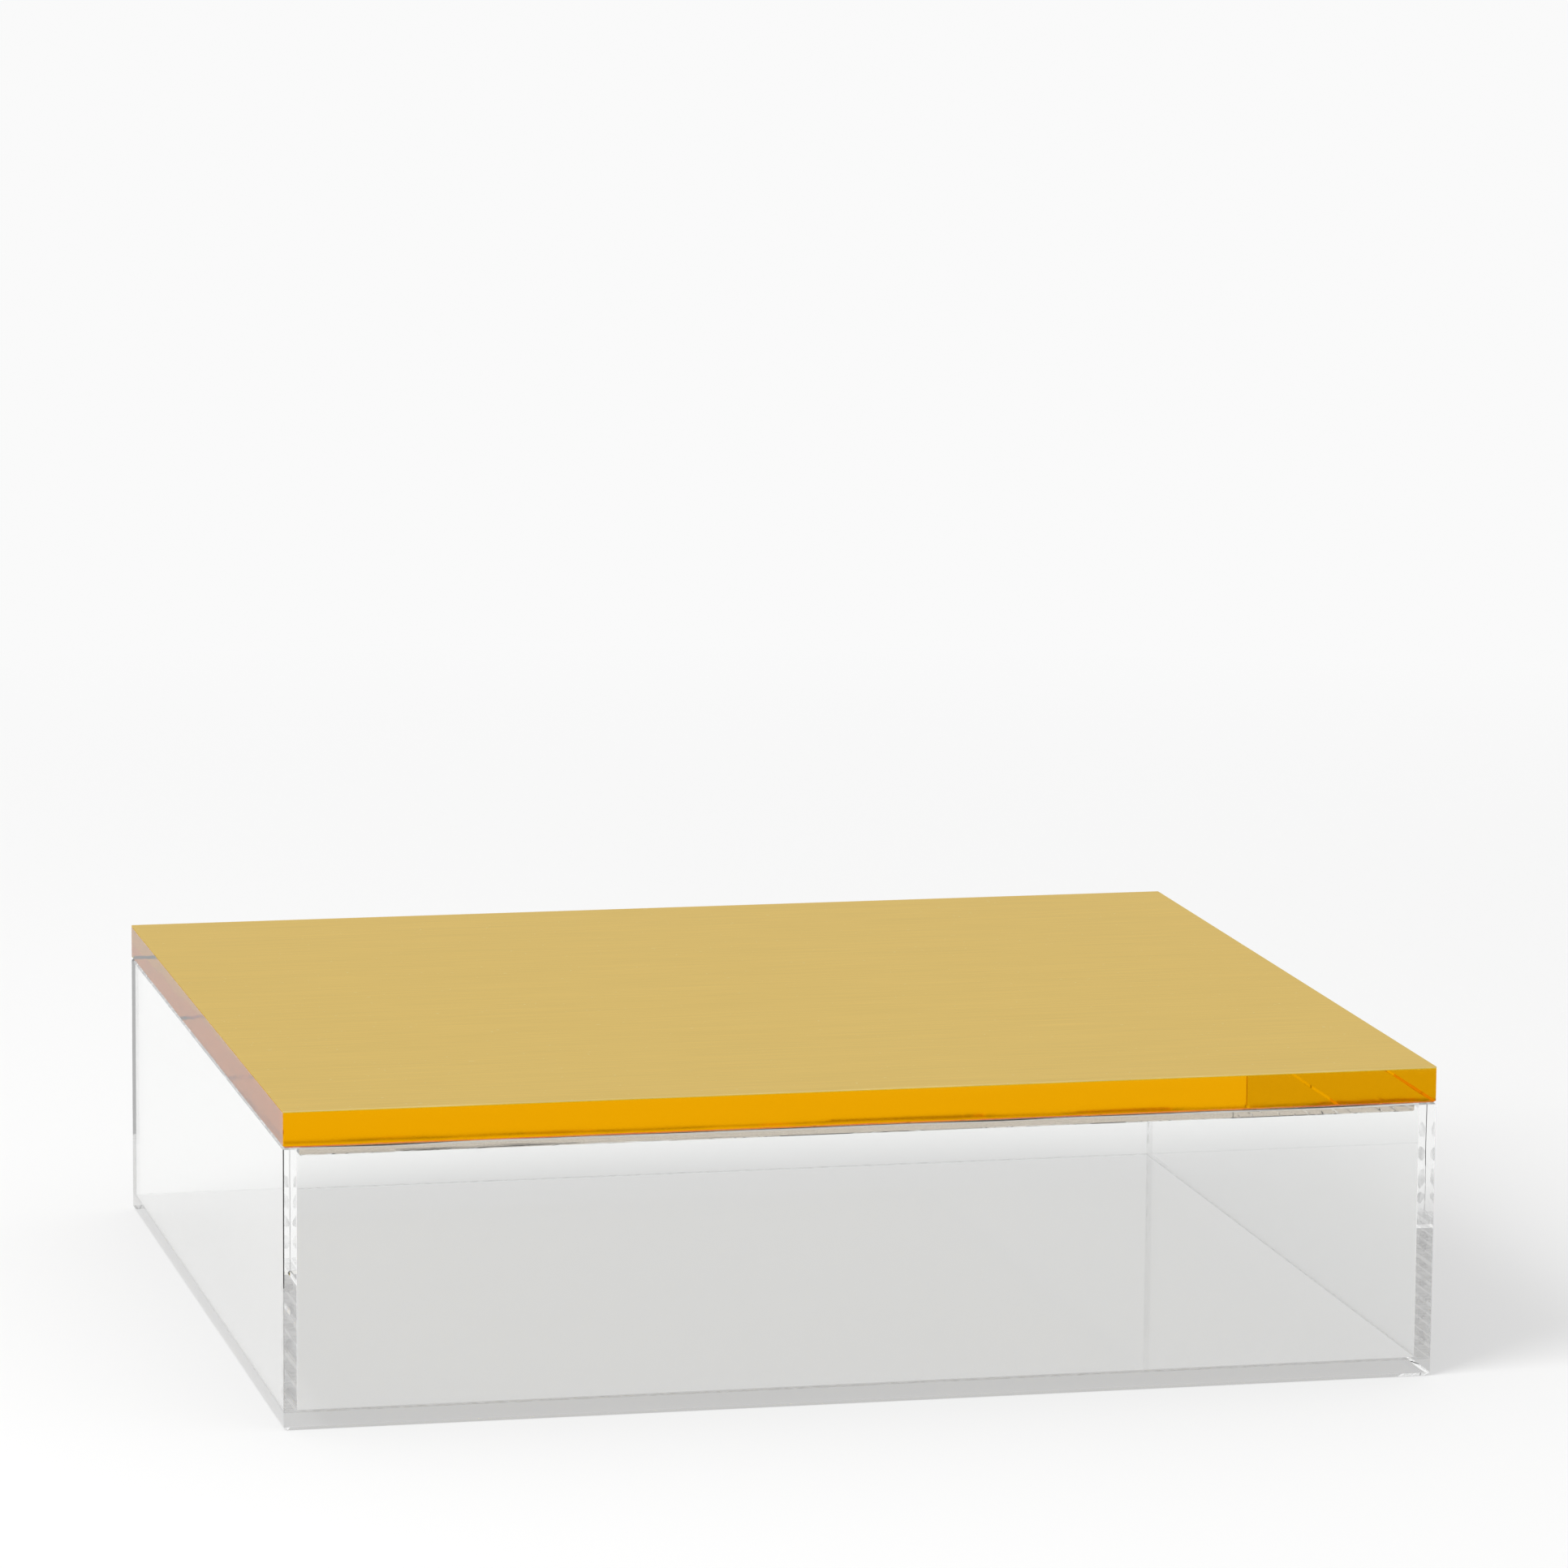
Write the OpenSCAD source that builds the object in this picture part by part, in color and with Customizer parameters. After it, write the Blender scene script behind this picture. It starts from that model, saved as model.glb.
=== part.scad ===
// Clear acrylic storage box with a loose lid that carries a brushed brass sheet.
// The box is bonded from five flat panels. Its walls stand on the base plate, and the front and back walls
// cover the ends of the side walls. The lid drops on, held in place by a plate that fits inside the walls.
// Millimetres. The origin is at the middle of the underside, +X runs along the front and +Y to the back.

/* [Box] */
// Outside width, along the front
box_w = 320; // [200:5:480]
// Outside depth, from front to back
box_d = 280; // [160:5:420]
// Height of the walls above the base plate
wall_h = 72; // [40:1:200]
// Thickness of the wall sheet
wall_t = 4; // [3:0.5:8]
// Thickness of the base sheet
base_t = 5; // [3:0.5:12]

/* [Lid] */
// Thickness of the clear lid slab
slab_t = 9.5; // [5:0.5:20]
// Thickness of the plate under the slab
plate_t = 3; // [2:0.5:8]
// Clearance between the plate's edges and the walls
plate_gap = 1; // [0.5:0.1:3]
// Thickness of the adhesive film on the slab
film_t = 0.1; // [0.05:0.05:0.5]
// Thickness of the brass sheet
sheet_t = 0.4; // [0.3:0.1:2]

/* [Broken edges] */
// Bevel along the underside of the base plate
foot_bevel = 1; // [0.2:0.1:1.4]
// Bevel on the upright corners of box and lid
corner_bevel = 0.4; // [0.2:0.1:1]
// Bevel round the outside of the walls' top edge
brim_bevel = 0.5; // [0.2:0.1:1.2]
// Bevel round the inside of the walls' top edge
mouth_bevel = 0.3; // [0.2:0.1:1.2]
// Bevel along the lower edge of the lid slab
slab_bevel = 0.5; // [0.2:0.1:1.4]
// Bevel along the lower edge of the plate
plate_bevel = 0.3; // [0.2:0.1:0.9]

/* [Hidden] */

// Heights of the seams, from the table up
brim_z = base_t + wall_h;
film_z = brim_z + slab_t;
sheet_z = film_z + film_t;

// Inside of the box, between the walls
mouth_w = box_w - 2 * wall_t;
mouth_d = box_d - 2 * wall_t;

// Plate under the lid
plate_w = mouth_w - 2 * plate_gap;
plate_d = mouth_d - 2 * plate_gap;

// Cutting shapes reach this far past what they cut
past = 1;

clear_acrylic = [0.93, 0.95, 0.95, 0.35];
clear_film = [0.95, 0.9, 0.75, 0.5];
brushed_brass = [0.85, 0.73, 0.43];

// Rectangle about the origin with its corners cut off at 45 degrees, or square where cut is 0
module cut_rectangle(w, d, cut) {
    if (cut > 0)
        polygon([
            [-w / 2 + cut, -d / 2], [w / 2 - cut, -d / 2], [w / 2, -d / 2 + cut], [w / 2, d / 2 - cut],
            [w / 2 - cut, d / 2], [-w / 2 + cut, d / 2], [-w / 2, d / 2 - cut], [-w / 2, -d / 2 + cut]
        ]);
    else
        square([w, d], center = true);
}

// Upright section of a block: its lower edges cut by low, its upper ones by high, where they aren't 0
function section(w, h, low, high) = concat(
    low > 0 ? [[-w / 2, low], [-w / 2 + low, 0], [w / 2 - low, 0], [w / 2, low]] : [[-w / 2, 0], [w / 2, 0]],
    high > 0 ? [[w / 2, h - high], [w / 2 - high, h], [-w / 2 + high, h], [-w / 2, h - high]]
             : [[w / 2, h], [-w / 2, h]]
);

// Long bar of an upright section that is w wide, lying along Y
module bar(w, h, low, high, length) {
    rotate([90, 0, 0])
        linear_extrude(length, center = true)
            polygon(section(w, h, low, high));
}

// Block on the XY plane with bevelled corners and edges, mitred where they meet
module bevelled_block(w, d, h, corner, low, high) {
    intersection() {
        linear_extrude(h)
            cut_rectangle(w, d, corner);
        bar(w, h, low, high, d + 2 * past);
        rotate([0, 0, 90])
            bar(d, h, low, high, w + 2 * past);
    }
}

// Outside of the bonded box, whose edges are broken after bonding
module box_outside() {
    bevelled_block(box_w, box_d, brim_z, corner_bevel, foot_bevel, brim_bevel);
}

// Flared mouth: the inside of the box, widening over the last of its height to break the inner top edge
module mouth_flare() {
    flare_w = mouth_w + 2 * mouth_bevel;
    flare_d = mouth_d + 2 * mouth_bevel;
    translate([0, 0, brim_z - mouth_bevel])
        bevelled_block(flare_w, flare_d, mouth_bevel + past, 0, mouth_bevel, 0);
}

// Panel of the box: a blank of size [x, y, z] centred on [x, y] above z, with the box's outside and mouth
module panel(size, at) {
    difference() {
        intersection() {
            translate([at.x - size.x / 2, at.y - size.y / 2, at.z])
                cube(size);
            box_outside();
        }
        mouth_flare();
    }
}

module base_plate() {
    color(clear_acrylic)
        intersection() {
            box_outside();
            translate([-box_w / 2, -box_d / 2, 0])
                cube([box_w, box_d, base_t]);
        }
}

// Front or back wall, over the ends of the side walls: side is -1 or 1
module long_wall(side) {
    color(clear_acrylic)
        panel([box_w, wall_t, wall_h], [0, side * (box_d - wall_t) / 2, base_t]);
}

// Side wall, between the front and back walls: side is -1 or 1
module short_wall(side) {
    color(clear_acrylic)
        panel([wall_t, mouth_d, wall_h], [side * (box_w - wall_t) / 2, 0, base_t]);
}

module front_wall() {
    long_wall(-1);
}

module back_wall() {
    long_wall(1);
}

module left_wall() {
    short_wall(-1);
}

module right_wall() {
    short_wall(1);
}

module lid_slab() {
    color(clear_acrylic)
        translate([0, 0, brim_z])
            bevelled_block(box_w, box_d, slab_t, corner_bevel, slab_bevel, 0);
}

module locating_plate() {
    color(clear_acrylic)
        translate([0, 0, brim_z - plate_t])
            bevelled_block(plate_w, plate_d, plate_t, corner_bevel, plate_bevel, 0);
}

module adhesive_film() {
    color(clear_film)
        translate([0, 0, film_z])
            linear_extrude(film_t)
                cut_rectangle(box_w, box_d, corner_bevel);
}

module brass_sheet() {
    color(brushed_brass)
        translate([0, 0, sheet_z])
            linear_extrude(sheet_t)
                cut_rectangle(box_w, box_d, corner_bevel);
}

base_plate();
front_wall();
back_wall();
left_wall();
right_wall();
lid_slab();
locating_plate();
adhesive_film();
brass_sheet();
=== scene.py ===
"""Dresses the clear storage box: bonded shell, gold-edged lid, brushed sheet, bond marks and stage."""
import math
import random

import bpy
from mathutils import Matrix, Vector, noise


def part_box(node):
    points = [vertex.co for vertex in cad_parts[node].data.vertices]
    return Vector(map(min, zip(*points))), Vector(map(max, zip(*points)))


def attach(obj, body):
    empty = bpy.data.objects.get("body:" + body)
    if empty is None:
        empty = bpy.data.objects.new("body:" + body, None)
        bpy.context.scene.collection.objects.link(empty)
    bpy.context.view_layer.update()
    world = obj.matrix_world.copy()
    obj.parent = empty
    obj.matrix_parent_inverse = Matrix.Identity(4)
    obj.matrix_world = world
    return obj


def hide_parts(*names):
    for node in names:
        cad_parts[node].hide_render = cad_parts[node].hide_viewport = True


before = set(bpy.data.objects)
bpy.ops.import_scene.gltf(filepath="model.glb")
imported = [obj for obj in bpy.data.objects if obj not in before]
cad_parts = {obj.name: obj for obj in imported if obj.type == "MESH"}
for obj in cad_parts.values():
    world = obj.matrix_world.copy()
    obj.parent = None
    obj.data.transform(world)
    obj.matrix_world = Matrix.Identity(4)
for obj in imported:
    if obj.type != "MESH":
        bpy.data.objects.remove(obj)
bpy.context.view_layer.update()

bl_info = {
    "name": "Clear storage box",
    "version": (1, 0, 0),
    "blender": (4, 5, 0),
    "location": "3D View > Sidebar > Clear box",
    "description": "Makes the looks of a clear acrylic storage box with a brass-topped lid",
    "category": "Object",
}

MM = 0.001

# Corners of the CAD nodes, in metres
BASE_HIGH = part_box("base_plate")[1]
FRONT_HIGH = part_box("front_wall")[1]
LEFT_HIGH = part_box("left_wall")[1]
SLAB_LOW, SLAB_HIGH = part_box("lid_slab")
PLATE_LOW, PLATE_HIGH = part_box("locating_plate")
SHEET_LOW, SHEET_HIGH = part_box("brass_sheet")

# Half the outside and half the inside of the box, and the heights of the base's top and the brim
HALF_W = BASE_HIGH.x
HALF_D = BASE_HIGH.y
MOUTH_W = -LEFT_HIGH.x
MOUTH_D = -FRONT_HIGH.y
BASE_TOP = BASE_HIGH.z
BRIM = FRONT_HIGH.z

# Inside corners and corners of the glue are nearly square
INNER_CUT = 0.1 * MM
GLUE_CUT = 0.2 * MM

# Points along each long side of a ring, and how quickly a hand-broken edge wanders
SIDE_STEPS = 96
WANDER = 34.0
UP_SEED = 7.3

# Edges that turn by more than this angle stay sharp, and a face is steep if its normal rises less than this
SHARP_ANGLE = math.radians(18)
STEEP = 0.5

# Glue seam, and trapped air in the corners, where -1 is left or front and 1 is right or back
SEAM_SEED = 11
AIR_SEED = 40
AIR_START = 3 * MM
AIR_TOPS = {(-1, -1): 0.040, (1, -1): 0.044, (-1, 1): 0.030, (1, 1): 0.034}
AIR_HALF_TALL_MM = (1.0, 3.2)
AIR_SPACING_MM = (0.6, 3.0)
AIR_SHARE_OF_WALL = (0.6, 0.85)
AIR_LEAN = (-0.4, 0.4)
AIR_RAGGED = (0.75, 1.1)

# Acrylic
ACRYLIC_IOR = 1.49
WAVE_SCALE = 26.0
WAVE_DETAIL = 1.5
FACE_WAVES = 0.01 * MM
LID_WAVES = 0.008 * MM
EDGE_WAVES = 0.02 * MM
EVEN = (1, 1, 1)

# Camera of the photograph: place in metres, turns in degrees, lens in millimetres
CAMERA_PLACE = (-0.4794, -2.0918, 0.4973)
CAMERA_YAW = 13.12
CAMERA_PITCH = 9.25
CAMERA_ROLL = 0.46
CAMERA_LENS = 174.6
CAMERA_REACH = 50
SENSOR = 36.0

# Light: what the white room throws on the box, and how bright it and the floor look
ROOM_LIGHT = 0.53
ROOM_SEEN = 0.96
FLOOR_SEEN = 0.955


class BoxSizes(bpy.types.PropertyGroup):
    """Sizes of the edges and seams"""

    foot_bevel: bpy.props.FloatProperty(
        name="Foot bevel", description="Bevel along the underside of the base",
        default=1.0 * MM, min=0.1 * MM, max=1.4 * MM, precision=5, unit="LENGTH")
    corner_bevel: bpy.props.FloatProperty(
        name="Corner bevel", description="Bevel on the upright corners",
        default=0.25 * MM, min=0.1 * MM, max=1.0 * MM, precision=5, unit="LENGTH")
    brim_bevel: bpy.props.FloatProperty(
        name="Brim bevel", description="Bevel round the outside of the walls' top edge",
        default=0.5 * MM, min=0.1 * MM, max=1.2 * MM, precision=5, unit="LENGTH")
    mouth_bevel: bpy.props.FloatProperty(
        name="Mouth bevel", description="Bevel round the inside of the walls' top edge",
        default=0.3 * MM, min=0.1 * MM, max=1.2 * MM, precision=5, unit="LENGTH")
    slab_bevel: bpy.props.FloatProperty(
        name="Slab bevel", description="Bevel along the lower edge of the lid slab",
        default=0.5 * MM, min=0.1 * MM, max=1.4 * MM, precision=5, unit="LENGTH")
    plate_bevel: bpy.props.FloatProperty(
        name="Plate bevel", description="Bevel along the edges of the locating plate",
        default=0.3 * MM, min=0.1 * MM, max=0.9 * MM, precision=5, unit="LENGTH")
    sheet_bevel: bpy.props.FloatProperty(
        name="Sheet edge", description="Broken edge of the brass sheet",
        default=0.06 * MM, min=0.01 * MM, max=0.15 * MM, precision=5, unit="LENGTH")
    hand: bpy.props.FloatProperty(
        name="Unevenness", description="How far a hand-broken edge wanders from its line",
        default=0.16 * MM, min=0.0, max=0.3 * MM, precision=5, unit="LENGTH")


class BoxColours(bpy.types.PropertyGroup):
    """Colours of the finishes"""

    acrylic: bpy.props.FloatVectorProperty(
        name="Acrylic", description="Tint of the clear acrylic",
        default=(0.985, 0.988, 0.985), size=3, min=0.0, max=1.0, subtype="COLOR")
    bond: bpy.props.FloatVectorProperty(
        name="Bond", description="Grey of the glue seams and trapped air",
        default=(0.84, 0.83, 0.83), size=3, min=0.0, max=1.0, subtype="COLOR")
    plate_edge: bpy.props.FloatVectorProperty(
        name="Plate edge", description="Tan tint of the locating plate's sawn edge",
        default=(0.62, 0.55, 0.45), size=3, min=0.0, max=1.0, subtype="COLOR")
    gold: bpy.props.FloatVectorProperty(
        name="Gold", description="Underside of the brass, as seen through the slab",
        default=(0.93, 0.72, 0.03), size=3, min=0.0, max=1.0, subtype="COLOR")
    brass: bpy.props.FloatVectorProperty(
        name="Brass", description="Brushed face of the sheet",
        default=(0.76, 0.575, 0.205), size=3, min=0.0, max=1.0, subtype="COLOR")
    floor: bpy.props.FloatVectorProperty(
        name="Floor", description="Floor and backdrop",
        default=(0.93, 0.93, 0.925), size=3, min=0.0, max=1.0, subtype="COLOR")


def sizes():
    return bpy.context.scene.clear_box_sizes


def colours():
    return bpy.context.scene.clear_box_colours


# Meshes

def drift(x, y, seed):
    """Slow random wander between -1 and 1, the same on each run."""
    return noise.noise(Vector((x * WANDER, y * WANDER, seed)))


def outline(half_w, half_d, cut, height, wander_in=0.0, wander_up=0.0, seed=0.0):
    """Ring of points round a rectangle with cut corners, whose size and height may wander a little."""
    w, d = half_w, half_d
    turns = [(-w + cut, -d), (w - cut, -d), (w, -d + cut), (w, d - cut),
             (w - cut, d), (-w + cut, d), (-w, d - cut), (-w, -d + cut)]
    ring = []
    for i, start in enumerate(turns):
        end = turns[(i + 1) % len(turns)]
        steps = SIDE_STEPS if i % 2 == 0 else 1
        for k in range(steps):
            x = start[0] + (end[0] - start[0]) * k / steps
            y = start[1] + (end[1] - start[1]) * k / steps
            inward = wander_in * drift(x, y, seed)
            up = wander_up * drift(x, y, seed + UP_SEED)
            ring.append(Vector((x * (1 - inward / w), y * (1 - inward / d), height + up)))
    return ring


def bands(rings, closed=False):
    """Faces from each ring to the next, and from the last ring back to the first where closed."""
    count = len(rings[0])
    faces = []
    for r in range(len(rings) if closed else len(rings) - 1):
        low = r * count
        high = (r + 1) % len(rings) * count
        for k in range(count):
            after = (k + 1) % count
            faces.append((low + k, low + after, high + after, high + k))
    return faces


def new_piece(name, points, faces, materials):
    """Mesh object in the scene."""
    mesh = bpy.data.meshes.new(name)
    mesh.from_pydata(points, [], faces)
    for material in materials:
        mesh.materials.append(material)
    piece = bpy.data.objects.new(name, mesh)
    bpy.context.scene.collection.objects.link(piece)
    return piece


def skin(name, rings, materials):
    """Closed body over a stack of rings. Its steep faces take the last material."""
    points = [point for ring in rings for point in ring]
    count = len(rings[0])
    bottom = tuple(reversed(range(count)))
    top = tuple(range(len(points) - count, len(points)))
    piece = new_piece(name, points, [bottom, *bands(rings), top], materials)
    mesh = piece.data
    for face in mesh.polygons:
        face.use_smooth = True
        if abs(face.normal.z) < STEEP:
            face.material_index = len(materials) - 1
    mesh.set_sharp_from_angle(angle=SHARP_ANGLE)
    mesh.validate()
    return piece


# Materials

def shaded(colour, by=EVEN):
    """Colour with its channels multiplied, and with full alpha."""
    return (*(channel * factor for channel, factor in zip(colour, by)), 1)


def node(tree, kind, label, **values):
    """Adds a node and sets the given sockets, with underscores for blanks in their names."""
    made = tree.nodes.new(kind)
    made.label = label
    for socket, value in values.items():
        made.inputs[socket.replace("_", " ")].default_value = value
    return made


def blank_material(name):
    """New material with an empty node tree."""
    material = bpy.data.materials.new(name)
    material.use_nodes = True
    material.node_tree.nodes.clear()
    return material, material.node_tree


def to_output(tree, surface):
    """Joins a material's surface to its output."""
    output = node(tree, "ShaderNodeOutputMaterial", "output")
    tree.links.new(surface, output.inputs["Surface"])


def maths(tree, operation, label, first, second):
    """Maths on a joined value and a second one, which is joined too or a plain number."""
    made = node(tree, "ShaderNodeMath", label)
    made.operation = operation
    tree.links.new(first, made.inputs[0])
    if isinstance(second, float):
        made.inputs[1].default_value = second
    else:
        tree.links.new(second, made.inputs[1])
    return made.outputs[0]


def mix_colours(tree, label, first=None, second=None):
    """Mix of two colours, each left to be joined where none is given."""
    mix = tree.nodes.new("ShaderNodeMix")
    mix.label = label
    mix.data_type = "RGBA"
    if first:
        mix.inputs["A"].default_value = first
    if second:
        mix.inputs["B"].default_value = second
    return mix


def mix_shaders(tree, label, share, first, second):
    """Two shaders in one, where share is how much of the second shows."""
    mixed = node(tree, "ShaderNodeMixShader", label)
    tree.links.new(share, mixed.inputs[0])
    tree.links.new(first, mixed.inputs[1])
    tree.links.new(second, mixed.inputs[2])
    return mixed.outputs[0]


def stretched_noise(tree, label, scale, stretch=EVEN, detail=0.0):
    """Noise in the piece's own place, stretched along its axes."""
    place = node(tree, "ShaderNodeTexCoord", "place")
    shape = node(tree, "ShaderNodeMapping", label + " stretch", Scale=stretch)
    grain = node(tree, "ShaderNodeTexNoise", label, Scale=scale, Detail=detail)
    tree.links.new(place.outputs["Object"], shape.inputs["Vector"])
    tree.links.new(shape.outputs["Vector"], grain.inputs["Vector"])
    return grain.outputs["Fac"]


def relief(tree, label, height, depth, shaders, strength=1.0):
    """Bump of the given depth, in metres, on one or more shaders."""
    bump = node(tree, "ShaderNodeBump", label, Strength=strength, Distance=depth)
    tree.links.new(height, bump.inputs["Height"])
    for shader in shaders:
        tree.links.new(bump.outputs["Normal"], shader.inputs["Normal"])


def polishing_waves(tree, stretch, depth, shaders):
    """Slow waves that hand polishing leaves."""
    waves = stretched_noise(tree, "polishing waves", WAVE_SCALE, stretch, WAVE_DETAIL)
    relief(tree, "wavy face", waves, depth, shaders)


def seen_directly(tree):
    """1 for a ray from the camera, a mirror or a clear body, and 0 for one that gathers soft light."""
    rays = node(tree, "ShaderNodeLightPath", "kind of ray").outputs
    either = maths(tree, "MAXIMUM", "camera or mirror ray", rays["Is Camera Ray"], rays["Is Glossy Ray"])
    return maths(tree, "MAXIMUM", "any ray that sees it", either, rays["Is Transmission Ray"])


def let_light_through(tree, surface):
    """Lets lamps and soft light pass straight through, less what the faces mirror, and joins the output."""
    square_on = shaded(colours().acrylic)
    at_a_graze = (0.05, 0.05, 0.05, 1)
    mirror = node(tree, "ShaderNodeFresnel", "mirrored share", IOR=ACRYLIC_IOR)
    loss = mix_colours(tree, "light that gets through", square_on, at_a_graze)
    straight = node(tree, "ShaderNodeBsdfTransparent", "straight through")
    rays = node(tree, "ShaderNodeLightPath", "kind of ray").outputs
    tree.links.new(mirror.outputs[0], loss.inputs["Factor"])
    tree.links.new(loss.outputs["Result"], straight.inputs["Color"])
    soft = mix_shaders(tree, "soft light", rays["Is Diffuse Ray"], surface, straight.outputs[0])
    lamps = mix_shaders(tree, "lamps", rays["Is Shadow Ray"], soft, straight.outputs[0])
    to_output(tree, lamps)


def acrylic(name, depth, stretch=EVEN, tint=None):
    """Polished clear acrylic whose faces are wavy by depth, in metres."""
    material, tree = blank_material(name)
    body = node(tree, "ShaderNodeBsdfPrincipled", "acrylic", Base_Color=shaded(tint or colours().acrylic),
                Roughness=0.0, IOR=ACRYLIC_IOR, Transmission_Weight=1.0)
    polishing_waves(tree, stretch, depth, [body])
    let_light_through(tree, body.outputs["BSDF"])
    return material


def lid_edge():
    """Polished edge of the slab: bends light as acrylic does, but mirrors little when looked at squarely."""
    material, tree = blank_material("polished_lid_edge")
    bend = node(tree, "ShaderNodeBsdfRefraction", "bent light", Roughness=0.0, IOR=ACRYLIC_IOR)
    mirror = node(tree, "ShaderNodeBsdfAnisotropic", "mirrored light", Roughness=0.0)
    along_edge = (0.7, 0.7, 5.0)
    polishing_waves(tree, along_edge, EDGE_WAVES, [bend, mirror])
    share = node(tree, "ShaderNodeFresnel", "mirrored share", IOR=ACRYLIC_IOR)
    # Acrylic mirrors 4% of the light square on, which is taken off here
    square_on = node(tree, "ShaderNodeMapRange", "none square on", From_Min=0.042, From_Max=0.92)
    tree.links.new(share.outputs[0], square_on.inputs["Value"])
    mixed = mix_shaders(tree, "bent and mirrored", square_on.outputs["Result"], bend.outputs[0],
                        mirror.outputs[0])
    let_light_through(tree, mixed)
    return material


def bond_material():
    """Glue seam and trapped air: a cloudy grey film that shows more in some places than in others."""
    material, tree = blank_material("cloudy_bond")
    body = node(tree, "ShaderNodeBsdfPrincipled", "cloud", Base_Color=shaded(colours().bond), Roughness=0.25)
    clear = node(tree, "ShaderNodeBsdfTransparent", "clear")
    cloud = stretched_noise(tree, "cloud", scale=420.0, stretch=(1, 1, 0.5), detail=3.0)
    cover = node(tree, "ShaderNodeMapRange", "cover", From_Min=0.35, From_Max=0.7, To_Min=0.04, To_Max=0.22)
    tree.links.new(cloud, cover.inputs["Value"])
    mixed = mix_shaders(tree, "cloudy share", cover.outputs["Result"], clear.outputs[0], body.outputs["BSDF"])
    to_output(tree, mixed)
    return material


def gold_film():
    """Clear adhesive with the gold of the brass behind it, with faint clouds where it took less well."""
    material, tree = blank_material("gold_behind_film")
    gold = colours().gold
    cloudy_gold = shaded(gold, (0.97, 0.95, 1))
    gold_at_a_graze = (0.979, 0.745, 0.02, 1)
    body = node(tree, "ShaderNodeBsdfPrincipled", "gold", Metallic=1.0, Roughness=0.03,
                Specular_Tint=gold_at_a_graze)
    cloud = stretched_noise(tree, "adhesive cloud", scale=30.0, detail=2.0)
    shade = mix_colours(tree, "cloudy gold", cloudy_gold, shaded(gold))
    tree.links.new(cloud, shade.inputs["Factor"])
    tree.links.new(shade.outputs["Result"], body.inputs["Base Color"])
    to_output(tree, body.outputs["BSDF"])
    return material


def brushed_brass():
    """Satin brass with long fine strokes along the width and a few specks of dust."""
    material, tree = blank_material("brushed_brass")
    brass = colours().brass
    brass_at_a_graze = (0.86, 0.74, 0.47, 1)
    dust_colour = (0.83, 0.74, 0.5, 1)
    body = node(tree, "ShaderNodeBsdfPrincipled", "brass", Metallic=1.0, Specular_Tint=brass_at_a_graze)
    long = stretched_noise(tree, "long strokes", scale=60.0, stretch=(0.35, 22.0, 1), detail=3.0)
    fine = stretched_noise(tree, "fine strokes", scale=240.0, stretch=(0.2, 14.0, 1), detail=2.0)
    both = maths(tree, "ADD", "both strokes", long, fine)
    strokes = maths(tree, "MULTIPLY", "mean of strokes", both, 0.5)
    shade = node(tree, "ShaderNodeValToRGB", "stroke colour")
    dark, pale = shade.color_ramp.elements
    dark.position = 0.36
    dark.color = shaded(brass, (0.93, 0.925, 0.9))
    pale.position = 0.64
    pale.color = shaded(brass, (1.06, 1.065, 1.1))
    dust = stretched_noise(tree, "dust specks", scale=900.0)
    speck = node(tree, "ShaderNodeMapRange", "few specks", From_Min=0.83, From_Max=0.86)
    dusty = mix_colours(tree, "dusty brass", second=dust_colour)
    rough = node(tree, "ShaderNodeMapRange", "roughness of strokes", To_Min=0.27, To_Max=0.4)
    tree.links.new(strokes, shade.inputs["Fac"])
    tree.links.new(strokes, rough.inputs["Value"])
    tree.links.new(dust, speck.inputs["Value"])
    tree.links.new(speck.outputs["Result"], dusty.inputs["Factor"])
    tree.links.new(shade.outputs["Color"], dusty.inputs["A"])
    tree.links.new(dusty.outputs["Result"], body.inputs["Base Color"])
    tree.links.new(rough.outputs["Result"], body.inputs["Roughness"])
    relief(tree, "stroke relief", strokes, 0.03 * MM, [body], strength=0.25)
    to_output(tree, body.outputs["BSDF"])
    return material


def floor_material():
    """White sweep: matt for the light that it throws, and glowing where it is seen, more so further off."""
    material, tree = blank_material("white_sweep")
    matt = node(tree, "ShaderNodeBsdfDiffuse", "matt floor", Color=shaded(colours().floor))
    glow = node(tree, "ShaderNodeEmission", "pale background", Color=(FLOOR_SEEN, FLOOR_SEEN, FLOOR_SEEN, 1),
                Strength=1.0)
    place = node(tree, "ShaderNodeTexCoord", "place")
    away = node(tree, "ShaderNodeVectorMath", "distance from the box")
    away.operation = "LENGTH"
    further = node(tree, "ShaderNodeMapRange", "glow grows with distance",
                   From_Min=0.3, From_Max=1.3, To_Min=0.56, To_Max=1.0)
    tree.links.new(place.outputs["Object"], away.inputs[0])
    tree.links.new(away.outputs["Value"], further.inputs["Value"])
    share = maths(tree, "MULTIPLY", "share that glows", seen_directly(tree), further.outputs["Result"])
    to_output(tree, mix_shaders(tree, "matt and glow", share, matt.outputs[0], glow.outputs[0]))
    return material


# Pieces

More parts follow.
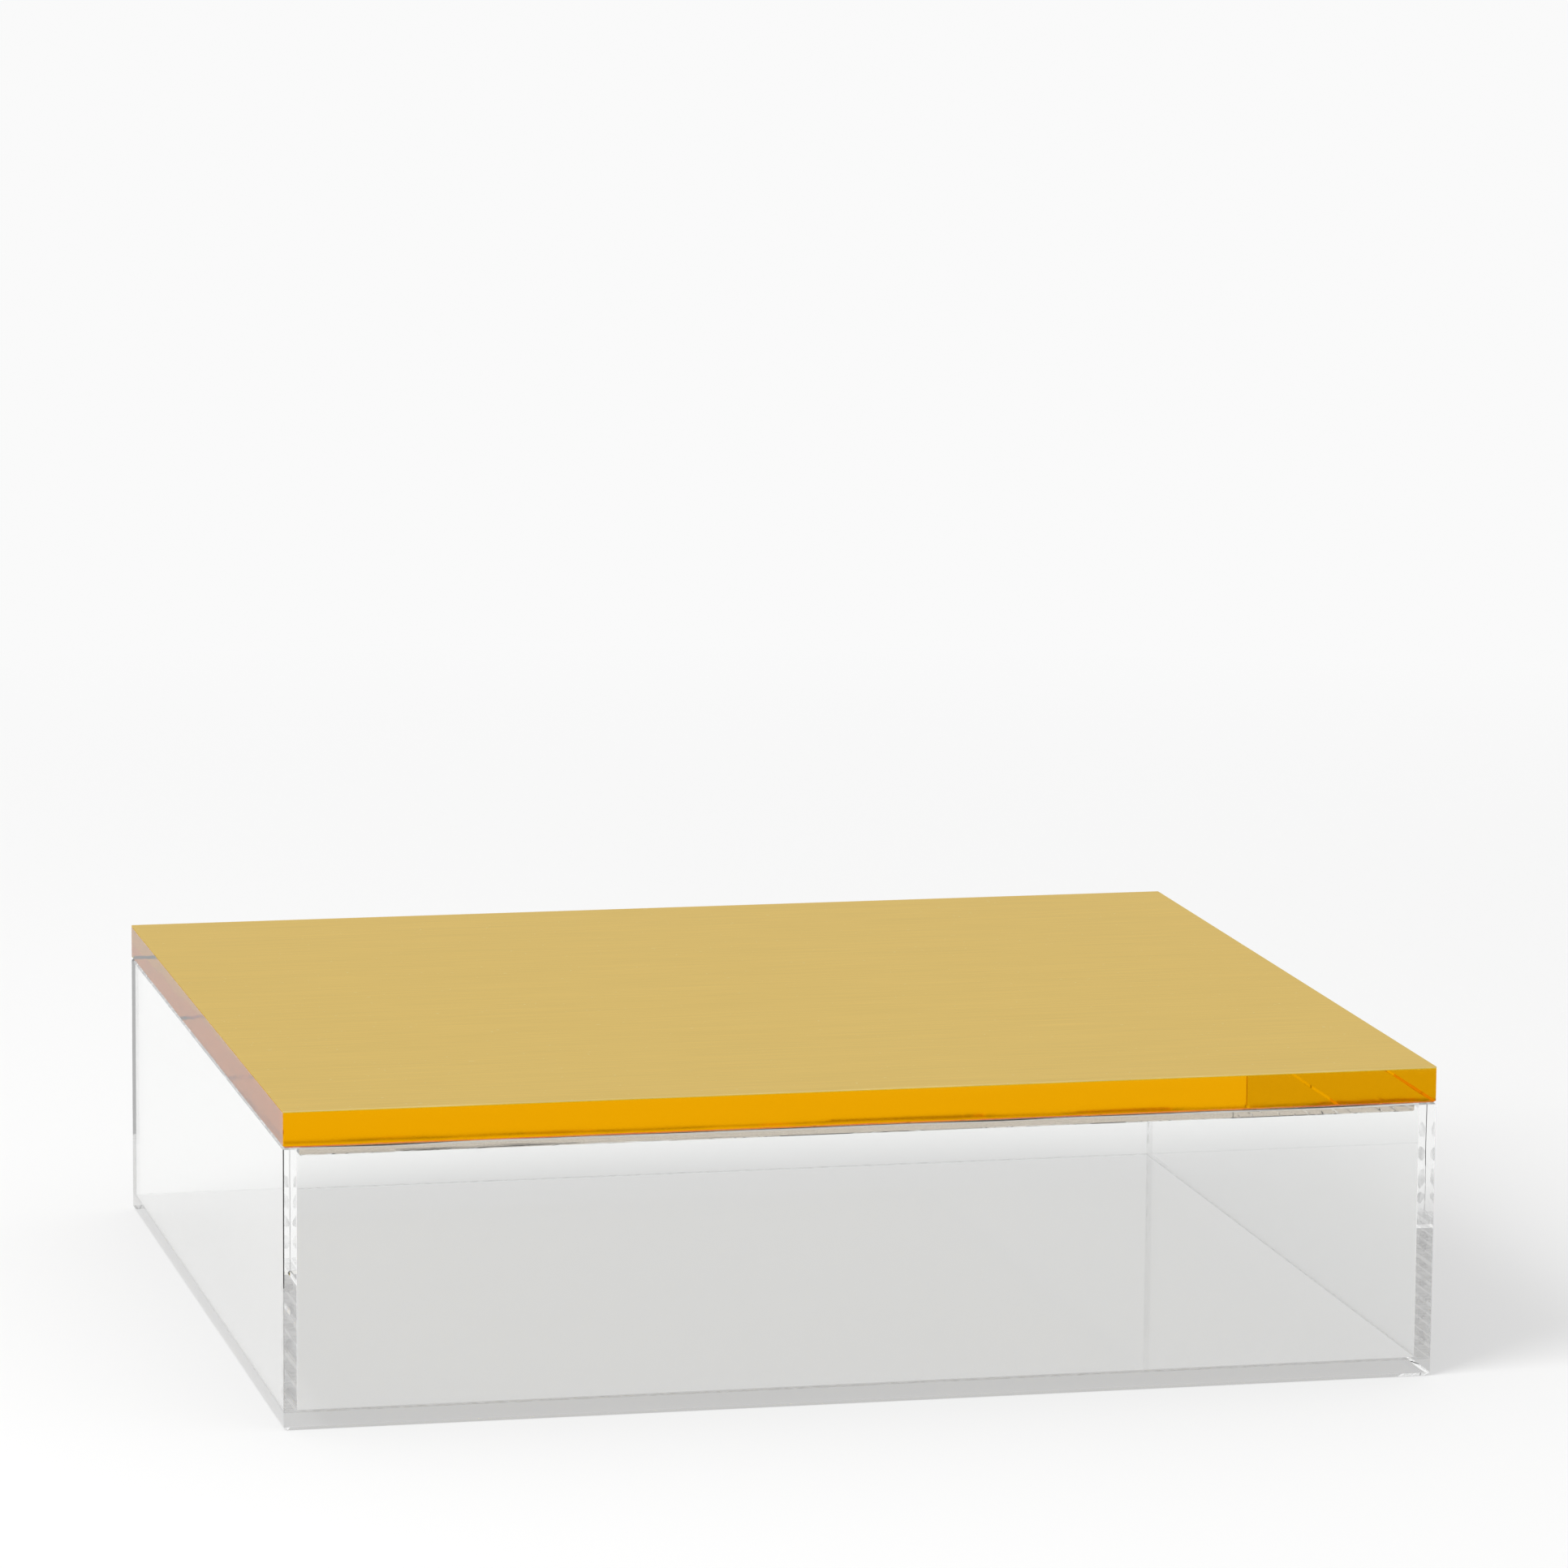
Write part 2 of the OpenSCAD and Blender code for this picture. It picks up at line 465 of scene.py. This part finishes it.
class MakeShell(bpy.types.Operator):
    """Bonded box: base and four walls as one clear body with hand-broken edges"""

    bl_idname = "clear_box.shell"
    bl_label = "Bonded shell"

    def execute(self, context):
        s = sizes()
        w, d, cut = HALF_W, HALF_D, s.corner_bevel
        foot, brim, flare = s.foot_bevel, s.brim_bevel, s.mouth_bevel
        slight = s.hand * 0.5
        rings = [
            outline(w - foot, d - foot, INNER_CUT, 0, wander_in=s.hand, seed=1),
            outline(w, d, cut, foot, wander_up=slight, seed=2),
            outline(w, d, cut, BRIM - brim, wander_up=s.hand, seed=3),
            outline(w - brim, d - brim, cut, BRIM, wander_in=s.hand, seed=4),
            outline(MOUTH_W + flare, MOUTH_D + flare, INNER_CUT, BRIM, wander_in=slight, seed=5),
            outline(MOUTH_W, MOUTH_D, INNER_CUT, BRIM - flare, wander_up=slight, seed=6),
            outline(MOUTH_W, MOUTH_D, INNER_CUT, BASE_TOP),
        ]
        shell = skin("box_shell", rings, [acrylic("clear_acrylic_face", FACE_WAVES)])
        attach(shell, "box")
        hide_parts("base_plate", "front_wall", "back_wall", "left_wall", "right_wall")
        return {"FINISHED"}


def seam_ribbon(name, material):
    """Wavy inner edge of the glue between the base and the walls, a thin flat ribbon all round."""
    low = BASE_TOP - 0.15 * MM
    high = low + 0.05 * MM
    outer = 0.35 * MM
    inner = 3.3 * MM
    ripple = 0.45 * MM
    slight = ripple * 0.3
    inner_seed = SEAM_SEED + 3

    def edge(inset, height, wander, seed):
        return outline(HALF_W - inset, HALF_D - inset, GLUE_CUT, height, wander_in=wander, seed=seed)

    rings = [
        edge(outer, low, slight, SEAM_SEED),
        edge(outer, high, slight, SEAM_SEED),
        edge(inner, high, ripple, inner_seed),
        edge(inner, low, ripple, inner_seed),
    ]
    points = [point for ring in rings for point in ring]
    return new_piece(name, points, bands(rings, closed=True), [material])


def air_patch(points, faces, centre, half_wide, half_tall, lean, rng):
    """Adds one flat, ragged lens of trapped air that lies in an upright bond facing the front."""
    half_thick = 0.06 * MM
    sides = 18
    start = len(points)
    for side in (-1, 1):
        points.append(Vector((centre.x, centre.y + side * half_thick, centre.z)))
    ragged = [rng.uniform(*AIR_RAGGED) for _ in range(sides)]
    for k in range(sides):
        angle = 2 * math.pi * k / sides
        reach = (ragged[k] + ragged[(k + 1) % sides]) / 2
        z = half_tall * reach * math.sin(angle)
        x = half_wide * reach * math.cos(angle) + z * math.tan(lean)
        x = max(-half_wide, min(half_wide, x))
        points.append(Vector((centre.x + x, centre.y, centre.z + z)))
    for k in range(sides):
        rim, after = start + 2 + k, start + 2 + (k + 1) % sides
        faces.append((start, rim, after))
        faces.append((start + 1, after, rim))


def trapped_air(name, material, across, along, top):
    """Patches of air one above the other in the bond of one corner, from near the foot to the top."""
    rng = random.Random(AIR_SEED + 3 * across + along)
    half_wall = (HALF_W - MOUTH_W) / 2
    points, faces = [], []
    height = BASE_TOP + AIR_START
    while height < top:
        half_tall = rng.uniform(*AIR_HALF_TALL_MM) * MM
        half_wide = half_wall * rng.uniform(*AIR_SHARE_OF_WALL)
        lean = rng.uniform(*AIR_LEAN)
        centre = Vector((across * (MOUTH_W + half_wall), along * MOUTH_D, height + half_tall))
        air_patch(points, faces, centre, half_wide, half_tall, lean, rng)
        height += 2 * half_tall + rng.uniform(*AIR_SPACING_MM) * MM
    return new_piece(name, points, faces, [material])


class MakeBondMarks(bpy.types.Operator):
    """Glue seam at the foot and trapped air in the four upright bonds"""

    bl_idname = "clear_box.bond_marks"
    bl_label = "Bond marks"

    def execute(self, context):
        cloudy = bond_material()
        marks = [seam_ribbon("glue_seam", cloudy)]
        for (across, along), top in AIR_TOPS.items():
            side = "left" if across < 0 else "right"
            end = "front" if along < 0 else "back"
            marks.append(trapped_air(f"bond_air_{side}_{end}", cloudy, across, along, top))
        for mark in marks:
            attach(mark, "box")
        return {"FINISHED"}


class MakeSlab(bpy.types.Operator):
    """Thick clear slab of the lid, whose top reaches into the gold film"""

    bl_idname = "clear_box.slab"
    bl_label = "Lid slab"

    def execute(self, context):
        s = sizes()
        w, d, cut, bevel = HALF_W, HALF_D, s.corner_bevel, s.slab_bevel
        contact = 0.02 * MM
        air = 0.03 * MM
        rings = [
            outline(w - bevel, d - bevel, cut, SLAB_LOW.z + air, wander_in=s.hand, seed=21),
            outline(w, d, cut, SLAB_LOW.z + bevel, wander_up=s.hand, seed=22),
            outline(w, d, cut, SLAB_HIGH.z + contact),
        ]
        slab = skin("lid_slab_clear", rings, [acrylic("clear_lid_face", LID_WAVES), lid_edge()])
        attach(slab, "lid")
        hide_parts("lid_slab")
        return {"FINISHED"}


class MakePlate(bpy.types.Operator):
    """Locating plate under the slab, a hair's breadth below it"""

    bl_idname = "clear_box.plate"
    bl_label = "Locating plate"

    def execute(self, context):
        s = sizes()
        w, d, cut, bevel = PLATE_HIGH.x, PLATE_HIGH.y, s.corner_bevel, s.plate_bevel
        low = PLATE_LOW.z
        gap = 0.03 * MM
        top = PLATE_HIGH.z - gap
        slight = s.hand * 0.4
        rings = [
            outline(w - bevel, d - bevel, cut, low, wander_in=slight, seed=31),
            outline(w, d, cut, low + bevel, wander_up=slight, seed=32),
            outline(w, d, cut, top - bevel, wander_up=slight, seed=33),
            outline(w - bevel, d - bevel, cut, top, wander_in=slight, seed=34),
        ]
        face = acrylic("clear_plate", LID_WAVES)
        edge = acrylic("sawn_plate_edge", EDGE_WAVES, stretch=(1, 1, 6), tint=colours().plate_edge)
        plate = skin("locating_plate_clear", rings, [face, edge])
        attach(plate, "lid")
        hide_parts("locating_plate")
        return {"FINISHED"}


class MakeBrass(bpy.types.Operator):
    """Brushed brass sheet with broken edges, and the gold film under it"""

    bl_idname = "clear_box.brass"
    bl_label = "Brass sheet"

    def execute(self, context):
        s = sizes()
        w, d, cut, bevel = HALF_W, HALF_D, s.corner_bevel, s.sheet_bevel
        low, high = SHEET_LOW.z, SHEET_HIGH.z
        rings = [
            outline(w - bevel, d - bevel, cut, low),
            outline(w, d, cut, low + bevel),
            outline(w, d, cut, high - bevel),
            outline(w - bevel, d - bevel, cut, high),
        ]
        sheet = skin("brushed_sheet", rings, [brushed_brass()])
        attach(sheet, "lid")
        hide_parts("brass_sheet")
        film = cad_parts["adhesive_film"]
        film.data.materials.clear()
        film.data.materials.append(gold_film())
        return {"FINISHED"}


# Stage

def sweep():
    """Floor that turns up into a backdrop in one smooth curve. It touches the base without an air film."""
    level = 0.02 * MM
    near = -4.0
    far = 5.0
    top = 6.0
    half_wide = 7.0
    bend = 2.0
    steps = 24
    profile = [(near, level), (far - bend, level)]
    for k in range(1, steps + 1):
        angle = math.pi / 2 * k / steps
        profile.append((far - bend + bend * math.sin(angle), bend - bend * math.cos(angle)))
    profile.append((far, top))
    points = [(side * half_wide, y, z) for y, z in profile for side in (-1, 1)]
    faces = [(2 * k, 2 * k + 1, 2 * k + 3, 2 * k + 2) for k in range(len(profile) - 1)]
    floor = new_piece("sweep", points, faces, [floor_material()])
    for face in floor.data.polygons:
        face.use_smooth = True
    return floor


def soft_box(name, azimuth, height_angle, distance, size, power):
    """Square soft light that looks at the box. Azimuth 0 is in front of it and 90 to its left."""
    a, e = math.radians(azimuth), math.radians(height_angle)
    lamp = bpy.data.lights.new(name, "AREA")
    lamp.shape = "SQUARE"
    lamp.size = size
    lamp.energy = power
    place = Vector((-math.sin(a) * math.cos(e), -math.cos(a) * math.cos(e), math.sin(e))) * distance
    light = bpy.data.objects.new(name, lamp)
    light.matrix_world = Matrix.Translation(place) @ place.to_track_quat("Z", "Y").to_matrix().to_4x4()
    bpy.context.scene.collection.objects.link(light)


def white_room():
    """World that lights softly and looks white wherever it is seen."""
    world = bpy.data.worlds.new("white_room")
    bpy.context.scene.world = world
    world.use_nodes = True
    tree = world.node_tree
    tree.nodes.clear()
    level = node(tree, "ShaderNodeMapRange", "level", To_Min=ROOM_LIGHT, To_Max=ROOM_SEEN)
    back = node(tree, "ShaderNodeBackground", "room", Color=(1, 1, 1, 1))
    output = node(tree, "ShaderNodeOutputWorld", "output")
    tree.links.new(seen_directly(tree), level.inputs["Value"])
    tree.links.new(level.outputs["Result"], back.inputs["Strength"])
    tree.links.new(back.outputs[0], output.inputs["Surface"])


def photo_camera():
    """Camera at the photograph's place and angle."""
    yaw, pitch, roll = (math.radians(a) for a in (CAMERA_YAW, CAMERA_PITCH, CAMERA_ROLL))
    ahead = Vector((math.sin(yaw) * math.cos(pitch), math.cos(yaw) * math.cos(pitch), -math.sin(pitch)))
    level = Vector((math.cos(yaw), -math.sin(yaw), 0))
    upright = level.cross(ahead)
    right = level * math.cos(roll) + upright * math.sin(roll)
    up = upright * math.cos(roll) - level * math.sin(roll)
    lens = bpy.data.cameras.new("photo_camera")
    lens.lens = CAMERA_LENS
    lens.sensor_width = SENSOR
    lens.clip_end = CAMERA_REACH
    camera = bpy.data.objects.new("photo_camera", lens)
    turn = Matrix((right, up, -ahead)).transposed().to_4x4()
    camera.matrix_world = Matrix.Translation(Vector(CAMERA_PLACE)) @ turn
    bpy.context.scene.collection.objects.link(camera)
    bpy.context.scene.camera = camera


class MakeStage(bpy.types.Operator):
    """Floor, white room, window light and camera"""

    bl_idname = "clear_box.stage"
    bl_label = "Stage"

    def execute(self, context):
        sweep()
        white_room()
        soft_box("window_light", azimuth=62, height_angle=41, distance=3.5, size=2.0, power=112)
        photo_camera()
        scene = context.scene
        scene.view_settings.view_transform = "Standard"
        scene.cycles.max_bounces = 24
        scene.cycles.glossy_bounces = 20
        scene.cycles.transmission_bounces = 20
        scene.cycles.transparent_max_bounces = 32
        return {"FINISHED"}


OPERATORS = (MakeShell, MakeBondMarks, MakeSlab, MakePlate, MakeBrass, MakeStage)


class ClearBoxPanel(bpy.types.Panel):
    """Lists the pieces of the box with their sizes and colours"""

    bl_idname = "VIEW3D_PT_clear_box"
    bl_label = "Clear box"
    bl_space_type = "VIEW_3D"
    bl_region_type = "UI"
    bl_category = "Clear box"

    def draw(self, context):
        layout = self.layout
        for group in (context.scene.clear_box_sizes, context.scene.clear_box_colours):
            column = layout.column()
            for field in group.bl_rna.properties:
                if field.identifier not in ("name", "rna_type"):
                    column.prop(group, field.identifier)
        for operator in OPERATORS:
            layout.operator(operator.bl_idname)


CLASSES = (BoxSizes, BoxColours, *OPERATORS, ClearBoxPanel)


def register():
    for made in CLASSES:
        bpy.utils.register_class(made)
    bpy.types.Scene.clear_box_sizes = bpy.props.PointerProperty(type=BoxSizes)
    bpy.types.Scene.clear_box_colours = bpy.props.PointerProperty(type=BoxColours)


def unregister():
    del bpy.types.Scene.clear_box_colours
    del bpy.types.Scene.clear_box_sizes
    for made in reversed(CLASSES):
        bpy.utils.unregister_class(made)


def main():
    register()
    bpy.ops.clear_box.shell()
    bpy.ops.clear_box.bond_marks()
    bpy.ops.clear_box.slab()
    bpy.ops.clear_box.plate()
    bpy.ops.clear_box.brass()
    bpy.ops.clear_box.stage()


if __name__ == "__main__":
    main()
